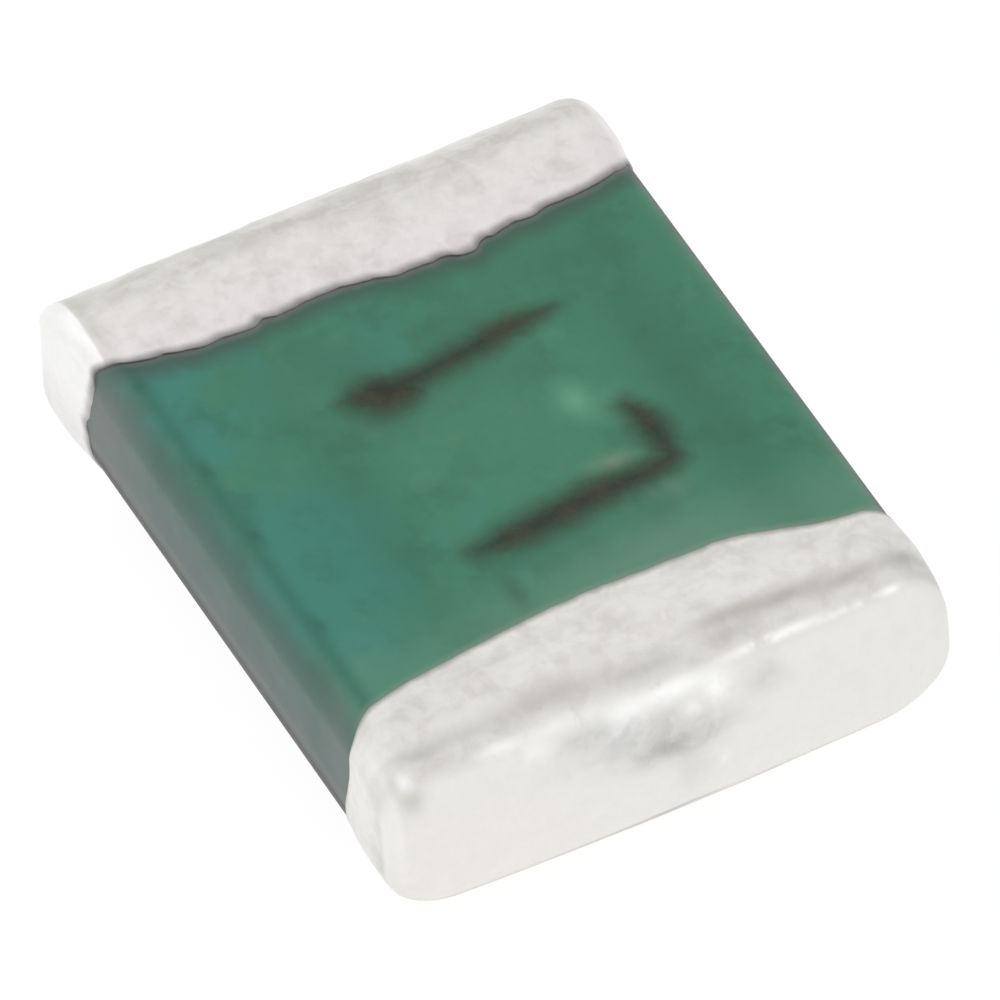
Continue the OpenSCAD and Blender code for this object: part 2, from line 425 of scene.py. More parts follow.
@dataclass(frozen=True)
class DippedTin:
    """Satin tin over lumpy fired silver, with its blots and streaks, painted shade along the thin edge of
    its rim, and painted highlights and shade on its faces.
    """

    end: End
    base: Colour = srgb(241, 240, 237)
    # tin on the tops; on the near end it is painted shade, darker than the end face
    top: Colour = srgb(233, 231, 228)
    rosy: Colour = srgb(236, 230, 232)
    cream: Colour = srgb(242, 240, 236)
    white: Colour = srgb(254, 254, 253)
    # grey for blots and streaks, also used as painted shade behind and along the near ridge
    band: Colour = srgb(212, 209, 205)
    olive: Colour = srgb(204, 204, 196)
    # colours of the painted shade at the rim's edge
    rim: Colour = srgb(150, 148, 148)
    near_rim: Colour = srgb(156, 155, 147)
    tan: Colour = srgb(206, 194, 182)
    # a painted shadow band behind the ridge (down 0.22 to 0.38), and grey blots below the ridge and on the
    # end face
    near_shade_and_blots: tuple[Spot, ...] = spots(
        (0.22, 0.36, 0.07, 0.17, 188, 184, 178, 0.85), (0.27, 0.6, 0.075, 0.2, 182, 178, 171, 0.9),
        (0.34, 0.88, 0.075, 0.18, 186, 182, 176, 0.9), (0.36, 1.12, 0.08, 0.09, 176, 176, 173, 0.7),
        (0.34, -0.88, 0.07, 0.28, 202, 202, 200, 0.7), (0.38, -1.03, 0.06, 0.08, 190, 188, 184, 0.7),
        (0.3, -0.45, 0.11, 0.27, 198, 194, 190, 0.9), (0.37, -0.05, 0.08, 0.18, 196, 193, 189, 0.85),
        (0.37, 0.34, 0.07, 0.14, 194, 191, 186, 0.7), (0.66, -1.12, 0.12, 0.06, 214, 211, 205, 0.7),
        (0.84, -0.15, 0.2, 0.3, 220, 220, 219, 0.85), (0.7, -0.36, 0.1, 0.12, 208, 208, 208, 0.6),
        (1.08, 0.0, 0.17, 0.2, 199, 197, 195, 0.9), (0.78, 0.42, 0.12, 0.08, 214, 214, 213, 0.6),
        (1.45, 0.07, 0.35, 0.1, 224, 222, 218, 0.45))
    # painted highlights along the near end's ridge
    near_painted_highlights: tuple[Spot, ...] = spots(
        (0.59, 0.04, 0.08, 0.17, 254, 254, 253, 1.0), (0.53, 0.5, 0.045, 0.24, 254, 254, 253, 1.0),
        (0.61, -0.17, 0.09, 0.1, 254, 254, 253, 0.8), (0.72, 0.21, 0.12, 0.06, 254, 254, 253, 1.0),
        (0.56, 0.84, 0.03, 0.15, 254, 254, 253, 0.7), (0.52, -0.45, 0.08, 0.26, 254, 254, 253, 0.6),
        (0.56, 1.02, 0.035, 0.04, 254, 254, 253, 0.9), (0.53, -0.72, 0.06, 0.1, 254, 254, 253, 0.7),
        (0.52, -1.12, 0.09, 0.035, 254, 254, 253, 0.7), (0.66, -0.58, 0.09, 0.09, 250, 250, 250, 0.6),
        (0.76, -0.22, 0.07, 0.05, 250, 250, 250, 0.8), (0.8, 0.09, 0.07, 0.04, 250, 250, 250, 0.8),
        (1.5, 0.18, 0.07, 0.035, 252, 251, 247, 0.8))

    def build(self) -> bpy.types.Material:
        """Makes the material of this end.

        Returns:
            The material.
        """
        graph = Graph(f"dipped_tin_{self.end.word}")
        place = graph.places()
        y, z = graph.outputs("ShaderNodeSeparateXYZ", {"Vector": place}, "Y", "Z")
        blots = graph.noise(place, 6.0, 3.0, 0.6, 0.3)
        speck = graph.noise(place, 38.0, 3.0, 0.65)
        streaks = graph.noise(place * (3.0, 1.0, 1.0), 3.5, 3.0, 0.6, 0.3)
        mottle = graph.noise(place, 13.0, 2.0, 0.6)
        lump = graph.noise(place + (3.0, 3.0, 3.0), 10.0, 3.0, 0.6, 0.5).step(0.36, 0.6)
        at = TinPlace(y, z, graph.measure("turn"), graph.measure("from_rim"), blots, streaks, mottle, lump)
        is_near = self.end is End.NEAR
        colour, shine = self._near_face(graph, at) if is_near else self._far_face(graph, at)
        # painted shade: the metal darkens towards its thin edge at the rim
        edge = (at.from_rim + (mottle - 0.5) * 0.02).step(0.052, -0.008)
        colour = graph.mix(
            graph.shade(colour, 0.94 + speck * 0.06 + mottle * 0.06),
            (self.tan, z.step(0.125, 0.05) * at.turn.step(0.1, 0.5) * 0.8),
            # painted shade at the rim's edge
            (self.near_rim if is_near else self.rim, edge * (0.55 + z.step(0.6, 0.8) * 0.35)))
        return graph.finish({"Base Color": colour, "Metallic": 1.0,
                             "Roughness": 0.74 + (speck - 0.5) * 0.16 - shine * 0.06,
                             "Normal": graph.bump(blots * 0.4 + speck * 0.3, 0.004)})

    def _near_face(self, graph: Graph, at: TinPlace) -> tuple[Wire, Wire]:
        """Colour of the near end: a painted shadow band behind the ridge, painted shade and painted
        highlights on the ridge, grey blots around it, and a top painted darker than the end face.

        Args:
            graph: the material's nodes.
            at: what the colour goes by.

        Returns:
            The colour, and how bright the ridge is, from 0 to 1.
        """
        down = at.turn + (0.55 - at.z) * 2.12 * at.turn.step(0.9, 1.0)
        upper = at.z.step(0.2, 0.35)
        top = at.turn.step(0.65, 0.4) * upper
        smudged = 0.62 + at.lump * 0.45
        broken = at.blots.step(0.32, 0.52)
        colour = graph.mix(
            self.base,
            (self.cream, at.turn.step(0.7, 1.0) * at.y.step(0.6, -0.9)),
            # painted shade: the top of the near end is darker than its end face
            (self.top, top),
            (self.band, (at.blots * 0.5 + at.streaks * 0.5).step(0.42, 0.6) * top * 0.32),
            # painted shadow band behind the ridge, and grey blots below it
            *((mark.colour, mark.share(down, at.y) * smudged) for mark in self.near_shade_and_blots),
            # painted shade along the ridge, under the painted highlights
            (self.band, down.bell(0.5, 0.09) * upper * 0.6),
            # painted highlights, broken by the blots
            *((light.colour, light.share(down, at.y) * broken) for light in self.near_painted_highlights),
            (self.white, at.lump * top * 0.25),
            # painted light: the near end's left side is lighter
            (self.white, at.y.step(-1.16, -1.2) * at.z.step(0.2, 0.6) * 0.35))
        return colour, down.bell(0.54, 0.08) * upper

    def _far_face(self, graph: Graph, at: TinPlace) -> tuple[Wire, Wire]:
        """Colour of the far end: rosy beside the rim, olive blots where the top turns down, a painted
        highlight along its crest, and painted light on its left side and right facet.

        Args:
            graph: the material's nodes.
            at: what the colour goes by.

        Returns:
            The colour, and how bright the side is, from 0 to 1.
        """
        crest = at.z.step(0.5, 0.7)
        olive = at.turn.step(0.05, 0.4) * at.streaks.step(0.38, 0.62) * (0.15 + at.z.step(0.55, 0.75) * 0.7)
        shown = 0.45 - at.turn.step(0.5, 1.0) * 0.25
        back = at.from_rim.step(0.3, 0.4) * at.turn.step(0.3, 0.12) * at.z.step(0.6, 0.75)
        # painted light: the left side and a facet at the right end are painted lighter
        side = (at.y + (at.blots - 0.5) * 0.02).step(-1.145, -1.16)
        bright = side * (0.5 + at.z.step(0.3, 0.6) * 0.35) + at.y.step(1.15, 1.2) * crest * 0.5
        return graph.mix(
            self.top,
            (self.rosy, at.from_rim.step(0.35, 0.05) * 0.8),
            (self.olive, olive),
            (self.band, (at.blots * 0.6 + at.mottle * 0.4).step(0.44, 0.64) * shown),
            (self.band, back * (0.25 + at.streaks.step(0.4, 0.6) * 0.5)),
            # painted highlight along the crest of the far end's rounding
            (self.white, at.turn.bell(0.47, 0.18) * crest * 0.4),
            (self.white, at.lump * 0.2 * at.turn.step(0.9, 0.5)),
            (self.olive, at.y.bell(-1.12, 0.04) * 0.3),
            # painted light on the left side and the right facet
            (self.white, bright)), side


@dataclass(frozen=True)
class Plate:
    """Fired silver, plated nickel or silver film, which the tin and the mica hide."""

    name: str
    colour: Colour
    dull: Colour
    rough: float
    grains_per_mm: float

    def build(self) -> bpy.types.Material:
        """Makes the material.

        Returns:
            The material.
        """
        graph = Graph(self.name)
        place = graph.places()
        grain = graph.noise(place, self.grains_per_mm, 4.0, 0.65)
        blots = graph.noise(place, 5.0, 2.0)
        colour = graph.mix(self.colour, (self.dull, blots.step(0.42, 0.62) * 0.7))
        return graph.finish({"Base Color": graph.shade(colour, 0.9 + grain * 0.2), "Metallic": 1.0,
                             "Roughness": self.rough + (grain - 0.5) * 0.3,
                             "Normal": graph.bump(grain, 0.003)})


@dataclass(frozen=True)
class CleavedMica:
    """Cleaved mica sheet: pearly amber with thin flakes that lie along the sheet."""

    name: str = "cleaved_mica"
    amber: Colour = srgb(204, 188, 148)
    smoke: Colour = srgb(150, 132, 98)
    pearl: Colour = srgb(232, 224, 202)

    def build(self) -> bpy.types.Material:
        """Makes the material.

        Returns:
            The material.
        """
        graph = Graph(self.name)
        place = graph.places()
        leaves = graph.noise(place * (1.0, 1.0, 14.0), 3.0, 4.0, 0.6)
        stain = graph.noise(place, 1.7, 3.0, 0.6, 0.5)
        colour = graph.mix(self.amber, (self.smoke, stain.step(0.48, 0.7) * 0.7),
                           (self.pearl, leaves.step(0.52, 0.7) * 0.6))
        return graph.finish({"Base Color": colour, "Roughness": 0.2 + leaves * 0.25,
                             "Coat Weight": 0.3 + stain * 0.4, "Normal": graph.bump(leaves, 0.002)})


@dataclass(frozen=True)
class MarkingInk:
    """Dark brown ink, thin and broken at the strokes' edges."""

    name: str = "marking_ink"
    dark: Colour = srgb(50, 52, 44)
    brown: Colour = srgb(66, 66, 53)
    thin: Colour = srgb(86, 126, 98)

    def build(self) -> bpy.types.Material:
        """Makes the material.

        Returns:
            The material.
        """
        graph = Graph(self.name)
        place = graph.places()
        ink = graph.measure("ink")
        blots = graph.noise(place, 9.0, 3.0, 0.6)
        grain = graph.noise(place, 40.0, 3.0, 0.6)
        cover = (ink + (blots - 0.5) * 0.35 + (grain - 0.5) * 0.14).step(0.08, 0.95)
        colour = graph.mix(self.dark, (self.brown, blots.step(0.4, 0.65)), (self.thin, 1.0 - cover))
        return graph.finish({"Base Color": colour, "Roughness": 0.6 + (grain - 0.5) * 0.2,
                             "Alpha": cover * 0.88, "Normal": graph.bump(grain, 0.001),
                             "Specular IOR Level": 0.2})


def eased(share: Array) -> Array:
    """A share from 0 to 1 that starts and stops gently."""
    return share * share * (3 - 2 * share)


def rise(values: Array, low: float, high: float) -> Array:
    """A smooth rise from 0 at low to 1 at high."""
    return eased(np.clip((values - low) / (high - low), 0, 1))


class Grain:
    """Smooth seeded noise in space, for relief that a mesh carries."""

    CELLS = 32
    OCTAVE_SHIFT = 7.31
    SPREAD = 1.6

    def __init__(self, seed: int, octaves: int = 3) -> None:
        """Draws the lattice of random values that the noise is smoothed from."""
        self.lattice = np.random.default_rng(seed).uniform(-1.0, 1.0, (self.CELLS,) * 3)
        self.octaves = octaves

    def at(self, points: Array, size: float) -> Array:
        """The noise at points.

        Args:
            points: places in millimetres, with three numbers in the last axis.
            size: size of the largest lumps.

        Returns:
            Values from about -1 to 1.
        """
        total = np.zeros(points.shape[:-1])
        for octave in range(self.octaves):
            cells = points / size * 2 ** octave + self.OCTAVE_SHIFT * octave
            total = total + self._lattice_at(cells) * 0.5 ** octave
        return total / sum(0.5 ** octave for octave in range(self.octaves)) * self.SPREAD

    def _lattice_at(self, points: Array) -> Array:
        """One octave of the noise.

        Args:
            points: places in cells of the lattice.

        Returns:
            Values from -1 to 1.
        """
        base = np.floor(points).astype(int)
        share = eased(points - base)
        total = np.zeros(points.shape[:-1])
        for corner in np.ndindex(2, 2, 2):
            weight = np.ones(points.shape[:-1])
            for axis, side in enumerate(corner):
                weight = weight * (share[..., axis] if side else 1 - share[..., axis])
            cell = (base + np.array(corner)) % self.CELLS
            total = total + weight * self.lattice[cell[..., 0], cell[..., 1], cell[..., 2]]
        return total


def quads(index: Array) -> Array:
    """The corners of the four-sided faces between the rows and columns of a grid of points."""
    return np.stack([index[:-1, :-1], index[:-1, 1:], index[1:, 1:], index[1:, :-1]], axis=-1)


def corners(grid: Array) -> Array:
    """The values at the four corners of each cell of a grid."""
    return np.moveaxis(quads(grid), -1, 0)


def placed(name: str, data: bpy.types.ID) -> bpy.types.Object:
    """A new object in the scene.

    Args:
        name: the object's name.
        data: the mesh, lamp or lens that it shows.

    Returns:
        The object.
    """
    thing = bpy.data.objects.new(name, data)
    bpy.context.scene.collection.objects.link(thing)
    return thing


@dataclass
class Skin:
    """Points and faces of one closed piece, in millimetres, with the numbers that its points carry."""

    name: str
    points: list[Array] = field(default_factory=list)
    faces: list[Array] = field(default_factory=list)
    polygons: list[list[int]] = field(default_factory=list)
    measures: dict[str, list[Array]] = field(default_factory=dict)
    count: int = 0

    def add_points(self, points: Array, **measures: Array) -> Array:
        """Adds points.

        Args:
            points: places, with three numbers in the last axis.
            measures: numbers that the points carry, each in the points' own order.

        Returns:
            The points' indices, in the same layout.
        """
        flat = points.reshape(-1, 3)
        index = np.arange(self.count, self.count + len(flat)).reshape(points.shape[:-1])
        self.points.append(flat)
        for name, values in measures.items():
            self.measures.setdefault(name, []).append(np.broadcast_to(values, index.shape).reshape(-1))
        self.count += len(flat)
        return index

    def add_grid(self, index: Array, closed: bool = False, flip: bool = False,
                 kept: Optional[Array] = None) -> None:
        """Adds a sheet of four-sided faces over a grid of points.

        Args:
            index: indices in rows and columns.
            closed: whether the last column joins the first.
            flip: whether the faces look the other way.
            kept: which cells of the grid have a face, or all of them.
        """
        if closed:
            index = np.concatenate([index, index[:, :1]], axis=1)
        faces = quads(index).reshape(-1, 4) if kept is None else quads(index)[kept]
        self.faces.append(faces[:, ::-1] if flip else faces)

    def make(self, material: bpy.types.Material, slot: str, node: str, sharp_degrees: float = 50.0) -> None:
        """Makes the piece, puts it on its body and hides the solid that it stands for.

        Args:
            material: the piece's material.
            slot: the record's slot for the piece's finish; not used.
            node: the solid that it stands for.
            sharp_degrees: angle from which an edge is sharp.
        """
        mesh = bpy.data.meshes.new(self.name)
        faces = np.concatenate(self.faces).tolist() + self.polygons
        mesh.from_pydata((np.concatenate(self.points) * MM).tolist(), [], faces)
        for name, parts in self.measures.items():
            values = np.concatenate(parts).astype(np.float32)
            mesh.attributes.new(name, "FLOAT", "POINT").data.foreach_set("value", values)
        mesh.shade_smooth()
        mesh.set_sharp_from_angle(angle=math.radians(sharp_degrees))
        mesh.materials.append(material)
        mesh.update()
        piece = placed(self.name, mesh)
        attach(piece, ROOT)
        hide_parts(node)
        LOG.info("%s: %d faces, stands for %s", self.name, len(mesh.polygons), node)


@dataclass(frozen=True)
class Section:
    """The rounded cross-section of the stack or of a dipped end, and how finely it is walked."""

    left: float
    right: float
    low: float
    high: float
    left_r: float
    right_r: float
    foot_r: float
    least_r: float = 0.04
    across_steps: int = 186
    arc_steps: int = 36
    side_steps: int = 15

    def drawn_in(self, top: float, foot: float, left: float, right: float) -> "Section":
        """The section after an end's roundings have drawn its four sides in.

        Args:
            top: how far the top has come down.
            foot: how far the underside has come up.
            left: how far the left side has come in.
            right: how far the right side has come in.

        Returns:
            The smaller section, with tighter corners.
        """
        def corner(radius: float, first: float, second: float) -> float:
            """A corner's radius between two sides that have come in."""
            return max(radius - (first + second) / 2, self.least_r)
        return replace(self, left=self.left + left, right=self.right - right, low=self.low + foot,
                       high=self.high - top, left_r=corner(self.left_r, left, top),
                       right_r=corner(self.right_r, right, top),
                       foot_r=corner(self.foot_r, (left + right) / 2, foot))

    def walk(self) -> Array:
        """Points once round the section, from the middle of the right side over the top.

        Returns:
            The points, with y and z.
        """
        foot = self.low + self.foot_r
        right_top, left_top = self.high - self.right_r, self.high - self.left_r
        right_middle, left_middle = (right_top + foot) / 2, (left_top + foot) / 2
        points = []

        def line(start: tuple[float, float], end: tuple[float, float], steps: int) -> None:
            """Adds a straight stretch, without its last point."""
            share = np.linspace(0, 1, steps, endpoint=False)[:, None]
            points.append(np.array(start) + (np.array(end) - np.array(start)) * share)

        def arc(centre: tuple[float, float], radius: float, quarter: int) -> None:
            """Adds a quarter of a circle, without its last point."""
            angle = np.linspace(quarter, quarter + 1, self.arc_steps, endpoint=False) * math.pi / 2
            points.append(np.array(centre) + radius * np.stack([np.cos(angle), np.sin(angle)], axis=-1))

        line((self.right, right_middle), (self.right, right_top), self.side_steps)
        arc((self.right - self.right_r, right_top), self.right_r, 0)
        line((self.right - self.right_r, self.high), (self.left + self.left_r, self.high), self.across_steps)
        arc((self.left + self.left_r, left_top), self.left_r, 1)
        line((self.left, left_top), (self.left, left_middle), self.side_steps)
        line((self.left, left_middle), (self.left, foot), self.side_steps)
        arc((self.left + self.foot_r, foot), self.foot_r, 2)
        line((self.left + self.foot_r, self.low), (self.right - self.foot_r, self.low), self.across_steps)
        arc((self.right - self.foot_r, foot), self.foot_r, 3)
        line((self.right, foot), (self.right, right_middle), self.side_steps)
        return np.concatenate(points)


@dataclass(frozen=True)
class EndForm:
    """A form that ends the chip: its section, its end roundings and the crown of its end face."""

    section: Section
    reach: float
    round_top: float
    round_foot: float
    round_left: float
    round_right: float
    crown_y: float = 0.0
    crown_z: float = 0.0
    crowding: float = 1.5

    def crown(self, across: Array) -> Array:
        """How far the end face falls back.

        Args:
            across: places with y and z.

        Returns:
            The fall in x.
        """
        middle_y = (self.section.left + self.section.right) / 2
        middle_z = (self.section.low + self.section.high) / 2
        share_y = (across[..., 0] - middle_y) / (self.section.right - middle_y)
        share_z = (across[..., 1] - middle_z) / (self.section.high - middle_z)
        return self.crown_y * share_y ** 2 + self.crown_z * share_z ** 2

    def ring_at(self, x: float) -> Array:
        """The section where the form is cut at a distance from the chip's middle, crown apart.

        Args:
            x: the distance.

        Returns:
            The section's points there, with y and z.
        """
        def fall(radius: float) -> float:
            """How far a rounding has come in at that distance."""
            past = min(max(x - (self.reach - radius), 0.0), radius)
            return radius - math.sqrt(radius ** 2 - past ** 2)
        return self.section.drawn_in(fall(self.round_top), fall(self.round_foot), fall(self.round_left),
                                     fall(self.round_right)).walk()

    def surface(self, rim: Array, wall_steps: int, turn_steps: int, every: int = 1) -> tuple[Array, Array]:
        """The form's points from a rim on its walls to its end face.

        Args:
            rim: x of the rim, once round the section.
            wall_steps: steps from the rim to the rounding, which crowd towards the rim.
            turn_steps: steps of the rounding.
            every: which points of the section are taken, such as each third.

        Returns:
            The rings from the rim to the end face's edge, and the end face's rows from its upper
            to its lower edge without the points of its edge.
        """
        across = self.section.walk()[::every]
        rim = rim[::every]
        deepest = max(self.round_top, self.round_foot, self.round_left, self.round_right)
        start = self.reach - deepest
        rings = []
        for share in np.linspace(0, 1, wall_steps, endpoint=False) ** self.crowding:
            rings.append(np.column_stack([rim + (start - self.crown(across) - rim) * share, across]))
        for angle in np.linspace(0, math.pi / 2, turn_steps + 1):
            x = start + deepest * math.sin(angle)
            drawn_in = self.ring_at(x)[::every]
            rings.append(np.column_stack([x - self.crown(drawn_in), drawn_in]))
        edge = rings[-1][:, 1:]
        half, side = len(edge) // 2, self.section.side_steps // every
        upper_edge = edge[side + 1:half - side]
        lower_edge = edge[len(edge) - side - 1:half + side:-1]
        share = np.linspace(0, 1, 2 * side + 1)[1:-1, None, None]
        inside = upper_edge + (lower_edge - upper_edge) * share
        rows = np.concatenate([(self.reach - self.crown(inside))[..., None], inside], axis=-1)
        return np.stack(rings), rows


@dataclass(frozen=True)
class Rim:
    """The line where a dipped end stops: bowed over the top, leaning down the sides, a little ragged."""

    over_top: tuple[tuple[float, float], ...]
    under: tuple[tuple[float, float], ...]
    ragged: float
    nicked: float
    seed: int
    bites: tuple[tuple[float, float, float], ...] = ()
    ragged_size: float = 0.22
    nick_size: float = 0.07
    corner_low: float = 0.04
    corner_high: float = 0.3

    def along(self, across: Array, high: float, low: float) -> Array:
        """The rim's distance from the chip's middle, for points round the section.

        Args:
            across: points with y and z.
            high: height of the top.
            low: height of the underside.

        Returns:
            The distances in x.
        """
        unrolled = across[:, 0] + np.sign(across[:, 0]) * (high - across[:, 1])
        upper = self._curve(self.over_top, unrolled)
        lower = self._curve(self.under, across[:, 0])
        line = lower + (upper - lower) * rise(across[:, 1], low + self.corner_low, low + self.corner_high)
        flat = np.column_stack([across, np.zeros(len(across))])
        line = line + self.ragged * Grain(self.seed).at(flat, self.ragged_size)
        line = line + self.nicked * Grain(self.seed + 1, 2).at(flat, self.nick_size)
        on_top = across[:, 1] > (low + high) / 2
        for y, width, depth in self.bites:
            line = line + depth * np.exp(-((across[:, 0] - y) / width) ** 4) * on_top
        return line

    @staticmethod
    def _curve(knots: tuple[tuple[float, float], ...], y: Array) -> Array:
        """A smooth curve through the knots.

        Args:
            knots: y and x of each knot, in order of y.
            y: places to read.

        Returns:
            The curve's x at them.
        """
        at, value = np.array(knots).T
        slope = np.gradient(value, at)
        cell = np.clip(np.searchsorted(at, y) - 1, 0, len(at) - 2)
        width = at[cell + 1] - at[cell]
        t = np.clip((y - at[cell]) / width, 0, 1)
        return ((2 * t ** 3 - 3 * t ** 2 + 1) * value[cell] + (t ** 3 - 2 * t ** 2 + t) * width * slope[cell]
                + (3 * t ** 2 - 2 * t ** 3) * value[cell + 1] + (t ** 3 - t ** 2) * width * slope[cell + 1])


@dataclass(frozen=True)
class Stack:
    """The coated stack's own size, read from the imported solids, and its roundings."""

    half_length: float
    half_width: float
    low: float
    high: float
    seam_high: float
    seam_low: float
    seam_y: float
    near_reach: float
    far_reach: float
    foot_reach: float
    side_r: float = 0.15
    side_foot_r: float = 0.28
    near_top_r: float = 0.345
    far_top_r: float = 0.215
    end_foot_r: float = 0.12
    corner_r: float = 0.05
    wave_size: float = 0.55
    wave_depth: float = 0.006
    wave_seed: int = 17
    wave_sides: tuple[float, float] = (1.16, 1.0)
    wave_ends: tuple[float, float] = (1.3, 1.15)

    @classmethod
    def packed(cls) -> "Stack":
        """Reads the stack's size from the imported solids.

        Returns:
            The stack.
        """
        seal_low, seal_high = (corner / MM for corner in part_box("left_seal"))
        coat_low, coat_high = (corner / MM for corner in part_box("top_coat"))
        foot_low, foot_high = (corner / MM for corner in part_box("bottom_coat"))
        return cls(half_length=seal_high.x, half_width=-seal_low.y, low=foot_low.z, high=coat_high.z,
                   seam_high=coat_low.z, seam_low=foot_high.z, seam_y=-seal_high.y,
                   near_reach=coat_high.x, far_reach=-coat_low.x, foot_reach=foot_high.x)

    def section(self) -> Section:
        """The stack's cross-section."""
        return Section(-self.half_width, self.half_width, self.low, self.high, self.side_r, self.side_r,
                       self.side_foot_r)

    def form(self, end: End) -> EndForm:
        """The stack's form at one end, under the metal."""
        top_r = self.near_top_r if end is End.NEAR else self.far_top_r
        return EndForm(self.section(), self.half_length, top_r, self.end_foot_r, self.corner_r,
                       self.corner_r)

    def ring_at(self, x: float) -> Array:
        """The section at a place along the chip, drawn in near the ends."""
        return self.form(End.NEAR if x > 0 else End.FAR).ring_at(abs(x))

    def sag(self, points: Array) -> Array:
        """How far the cured resin's shallow waves, which fade at its edges, lie under its form."""
        x, y = np.abs(points[..., 0]), np.abs(points[..., 1])
        fade = rise(y, *self.wave_sides) * rise(x, *self.wave_ends)
        return (Grain(self.wave_seed).at(points, self.wave_size) * 0.5 + 0.5) * self.wave_depth * fade


@dataclass
class CoatedStack:
    """The resin on the stack: the green coats above and below, and the seals of the long sides."""

    stack: Stack
    near_rim: Rim
    far_rim: Rim
    finish: ResinCoat = ResinCoat()
    hair: float = 0.0004
    crowding: float = 0.94
    coat_steps: tuple[int, int] = (230, 200)
    seal_steps: tuple[int, int] = (160, 60)

    def build(self) -> None:
        """Builds the four pieces of the resin."""
        material = self.finish.build()
        stack = self.stack
        reaches = stack.near_reach, stack.far_reach
        self.coat("top_coat_resin", 1, *reaches).make(material, "green_coat", "top_coat")
        reaches = stack.foot_reach, stack.foot_reach
        self.coat("bottom_coat_resin", -1, *reaches).make(material, "green_coat", "bottom_coat")
        for name, side in (("left_seal", -1), ("right_seal", 1)):
            self.seal(f"{name}_resin", side).make(material, "grey_seal", name)

    def _stations(self, near: float, far: float, steps: int) -> Array:
        """Places along the chip, from far on one side of the middle to near on the other."""
        share = np.sin(np.linspace(-0.5, 0.5, steps + 1) * math.pi * self.crowding)
        return (near - far) / 2 + share / math.sin(math.pi / 2 * self.crowding) * (near + far) / 2

    @staticmethod
    def _between(line: Array, room: Array, steps: int) -> Array:
        """The part of a line that has room, walked again in even steps.

        Args:
            line: points in order.
            room: above 0 where a point of the line is kept.
            steps: steps of the result.

        Returns:
            The new points, from just where the room begins to just where it ends.
        """
        kept = np.flatnonzero(room > 0)
        first, last = kept[0], kept[-1]
        part = line[first:last + 1]
        if first > 0:
            share = room[first] / (room[first] - room[first - 1])
            part = np.concatenate([[line[first] + (line[first - 1] - line[first]) * share], part])
        if last < len(line) - 1:
            share = room[last] / (room[last] - room[last + 1])
            part = np.concatenate([part, [line[last] + (line[last + 1] - line[last]) * share]])
        run = np.concatenate([[0.0], np.cumsum(np.hypot(*np.diff(part, axis=0).T))])
        at = np.linspace(0, run[-1], steps + 1)
        return np.column_stack([np.interp(at, run, part[:, 0]), np.interp(at, run, part[:, 1])])

    def coat(self, name: str, side: int, near: float, far: float) -> Skin:
        """The coat above or below the stack: a rounded face on a flat underside.

        Args:
            name: the piece's name.
            side: 1 above, -1 below.
            near: how far its thin edge reaches towards the near end.
            far: the same towards the far end.

        Returns:
            The closed skin.
        """
        skin = Skin(name)
        stack = self.stack
        seam = stack.seam_high if side > 0 else stack.seam_low
        along_steps, across_steps = self.coat_steps
        x = self._stations(near, far, along_steps)
        grid = np.zeros((along_steps + 1, across_steps + 1, 3))
        grid[..., 0] = x[:, None]
        for row, place in zip(grid[1:-1], x[1:-1]):
            ring = stack.ring_at(place)
            half = len(ring) // 2
            line = ring[:half + 1] if side > 0 else ring[half:]
            row[:, 1:] = self._between(line, side * (line[:, 1] - seam), across_steps)
        if side > 0:
            grid[..., 2] -= stack.sag(grid)
        grid[..., 2] = side * np.maximum(side * grid[..., 2], side * seam + self.hair)
        grid[0, :, 1:], grid[-1, :, 1:] = grid[1, :, 1:], grid[-2, :, 1:]
        for border in (np.s_[0, :], np.s_[-1, :], np.s_[:, 0], np.s_[:, -1]):
            grid[border][..., 2] = seam
        index = skin.add_points(grid, **self._from_rims(grid))
        skin.add_grid(index)
        flat = np.column_stack([index[:-1, 0], index[1:, 0], index[1:, -1], index[:-1, -1]]).tolist()
        flat[0][3:] = index[0, :0:-1].tolist()
        flat[-1][2:3] = index[-1, 1:].tolist()
        skin.polygons.extend(flat)
        return skin

    def _from_rims(self, grid: Array) -> dict[str, Array]:
        """How far the coat's points lie from the rims of the two ends.

        Args:
            grid: the coat's points.

        Returns:
            The distances by name.
        """
        across = grid[..., 1:].reshape(-1, 2)
        limits = self.stack.high, self.stack.low
        near = self.near_rim.along(across, *limits).reshape(grid.shape[:-1]) - grid[..., 0]
        far = self.far_rim.along(across, *limits).reshape(grid.shape[:-1]) + grid[..., 0]
        return {"to_near_rim": near, "to_far_rim": far}

    def seal(self, name: str, side: int) -> Skin:
        """The resin on a long side: a bar whose outer face follows the stack's section.

        Args:
            name: the piece's name.
            side: 1 on the right, -1 on the left.

        Returns:
            The closed skin.
        """
        skin = Skin(name)
        stack = self.stack
        along_steps, height_steps = self.seal_steps
        x = self._stations(stack.half_length, stack.half_length, along_steps)
        ring = np.zeros((along_steps + 1, height_steps + 3, 3))
        ring[..., 0] = x[:, None]
        for row, place in zip(ring, x):
            line = stack.ring_at(place)
            line = line if side < 0 else np.roll(line, len(line) // 2, axis=0)
            room = np.minimum(stack.seam_high - line[:, 1], line[:, 1] - stack.seam_low)
            room = np.minimum(room, side * line[:, 0] - stack.seam_y - self.hair)
            row[:-2, 1:] = self._between(line, room, height_steps)
            row[-2:, 1:] = [[side * stack.seam_y, row[-3, 2]], [side * stack.seam_y, row[0, 2]]]
        index = skin.add_points(ring, **self._from_rims(ring))
        skin.add_grid(index, closed=True)
        skin.polygons.extend([index[0, ::-1].tolist(), index[-1].tolist()])
        return skin


